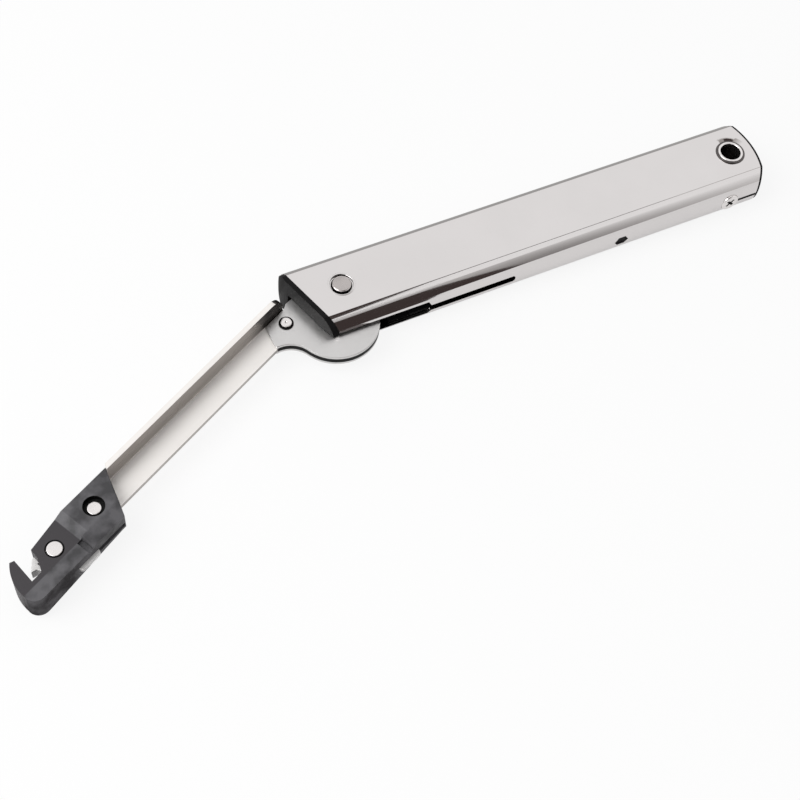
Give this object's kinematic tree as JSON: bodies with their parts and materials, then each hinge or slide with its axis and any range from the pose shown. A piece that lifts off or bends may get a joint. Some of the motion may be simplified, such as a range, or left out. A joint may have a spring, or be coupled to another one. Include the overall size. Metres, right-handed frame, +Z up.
{
  "type": "lid stay",
  "caption": "Sprung lid stay: flat casing with a pin bore, a lever swinging out of its slotted side, and an angle arm ending in a snap hook that clicks onto a cross pin.",
  "frame": {"origin": "on the axis of the casing's pin bore, in the plane of the casing's flat underside", "axes": "+Z up along the pin bore and the lever's pivot; the casing runs from the bore towards -X, and the lever swings out of its -Y side"},
  "size_m": [0.334, 0.0917, 0.0207],
  "materials": {
    "casing_aluminium": "satin anodised flats with polished bulged sides",
    "dark_plastic": "fine matt moulding",
    "hook_plastic": "mottled matt moulding",
    "zinc_steel": "bright zinc plate",
    "arm_steel": "bright plated sheet",
    "rivet_steel": "bright turned",
    "core_plastic": "smooth moulding",
    "spring_steel": "oiled wire",
    "brass": "turned"
  },
  "bodies": {
    "casing": {"casing": "casing_aluminium", "lever_end_cap": "dark_plastic", "bore_end_cap": "dark_plastic", "bore_block": "dark_plastic", "bore_bush": "zinc_steel", "bore_sleeve": "rivet_steel", "retaining_screw": "zinc_steel", "pivot_rivet": "rivet_steel", "pivot_ring_upper": "zinc_steel", "pivot_ring_lower": "zinc_steel", "pivot_spacer_upper": "zinc_steel", "pivot_spacer_lower": "zinc_steel", "spring_abutment": "dark_plastic", "main_spring": "spring_steel"},
    "lever": {"pivot_bush": "brass", "lever_plate_upper": "zinc_steel", "lever_plate_lower": "zinc_steel", "cam_core": "core_plastic", "arm_rivet_outer": "rivet_steel", "arm_rivet_inner": "rivet_steel", "arm": "arm_steel", "hook_shell_upper": "hook_plastic", "hook_shell_lower": "hook_plastic", "hook_rivet_rear": "rivet_steel", "hook_rivet_front": "rivet_steel", "catch_spring": "spring_steel"},
    "follower": {"follower_block": "dark_plastic", "roller_pin": "rivet_steel", "spring_guide_rod": "rivet_steel"},
    "roller": {"follower_roller": "zinc_steel"},
    "catch": {"catch_slider": "zinc_steel"}
  },
  "joints": [
    {"name": "lever_pivot", "type": "hinge", "parent": "casing", "child": "lever", "pos_m": [-0.17475, 0, 0], "axis": [0, 0, 1], "range_deg": [0, 138], "stiffness_Nm_per_rad": 0.4, "springref_deg": -34.38},
    {"name": "follower_slide", "type": "slide", "parent": "casing", "child": "follower", "axis": [1, 0, 0], "range_m": [0, 0.0209], "deforming": ["main_spring"]},
    {"name": "roller_spin", "type": "hinge", "parent": "follower", "child": "roller", "pos_m": [-0.15765, 0, 0], "axis": [0, 0, 1], "continuous": true},
    {"name": "catch_slide", "type": "slide", "parent": "lever", "child": "catch", "axis": [0.8908, 0.4545, 0], "range_m": [0, 0.0042], "stiffness_N_per_m": 600, "springref_m": -0.002, "deforming": ["catch_spring"]}
  ],
  "couplings": [
    {"joint": "follower_slide", "follows": "lever_pivot", "m_per_rad": 0.008652}
  ]
}
